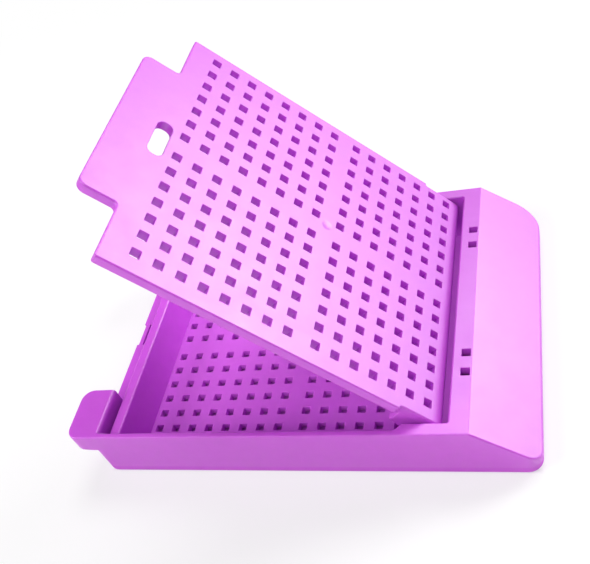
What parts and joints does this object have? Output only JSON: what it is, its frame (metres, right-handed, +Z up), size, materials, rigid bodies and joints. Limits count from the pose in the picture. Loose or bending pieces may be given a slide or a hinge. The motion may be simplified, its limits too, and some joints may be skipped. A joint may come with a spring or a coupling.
{
  "type": "tissue cassette",
  "caption": "Perforated histology cassette tray with a hinged perforated lid, latch tab, corner ears and slanted writing face.",
  "frame": {"origin": "under the middle of the base, on the plane it rests on", "axes": "+X along the length towards the slanted writing face, +Y across the tray, +Z up"},
  "size_m": [0.0412, 0.0286, 0.0285],
  "materials": {
    "base": "satin lilac acetal",
    "lid": "satin lilac acetal"
  },
  "bodies": {
    "base": {"base": "base"},
    "lid": {"lid": "lid"}
  },
  "joints": [
    {"name": "lid_hinge", "type": "hinge", "parent": "base", "child": "lid", "pos_m": [0.01167, 0, 0.0038], "axis": [0, 1, 0], "range_deg": [-47.6, 48]}
  ]
}
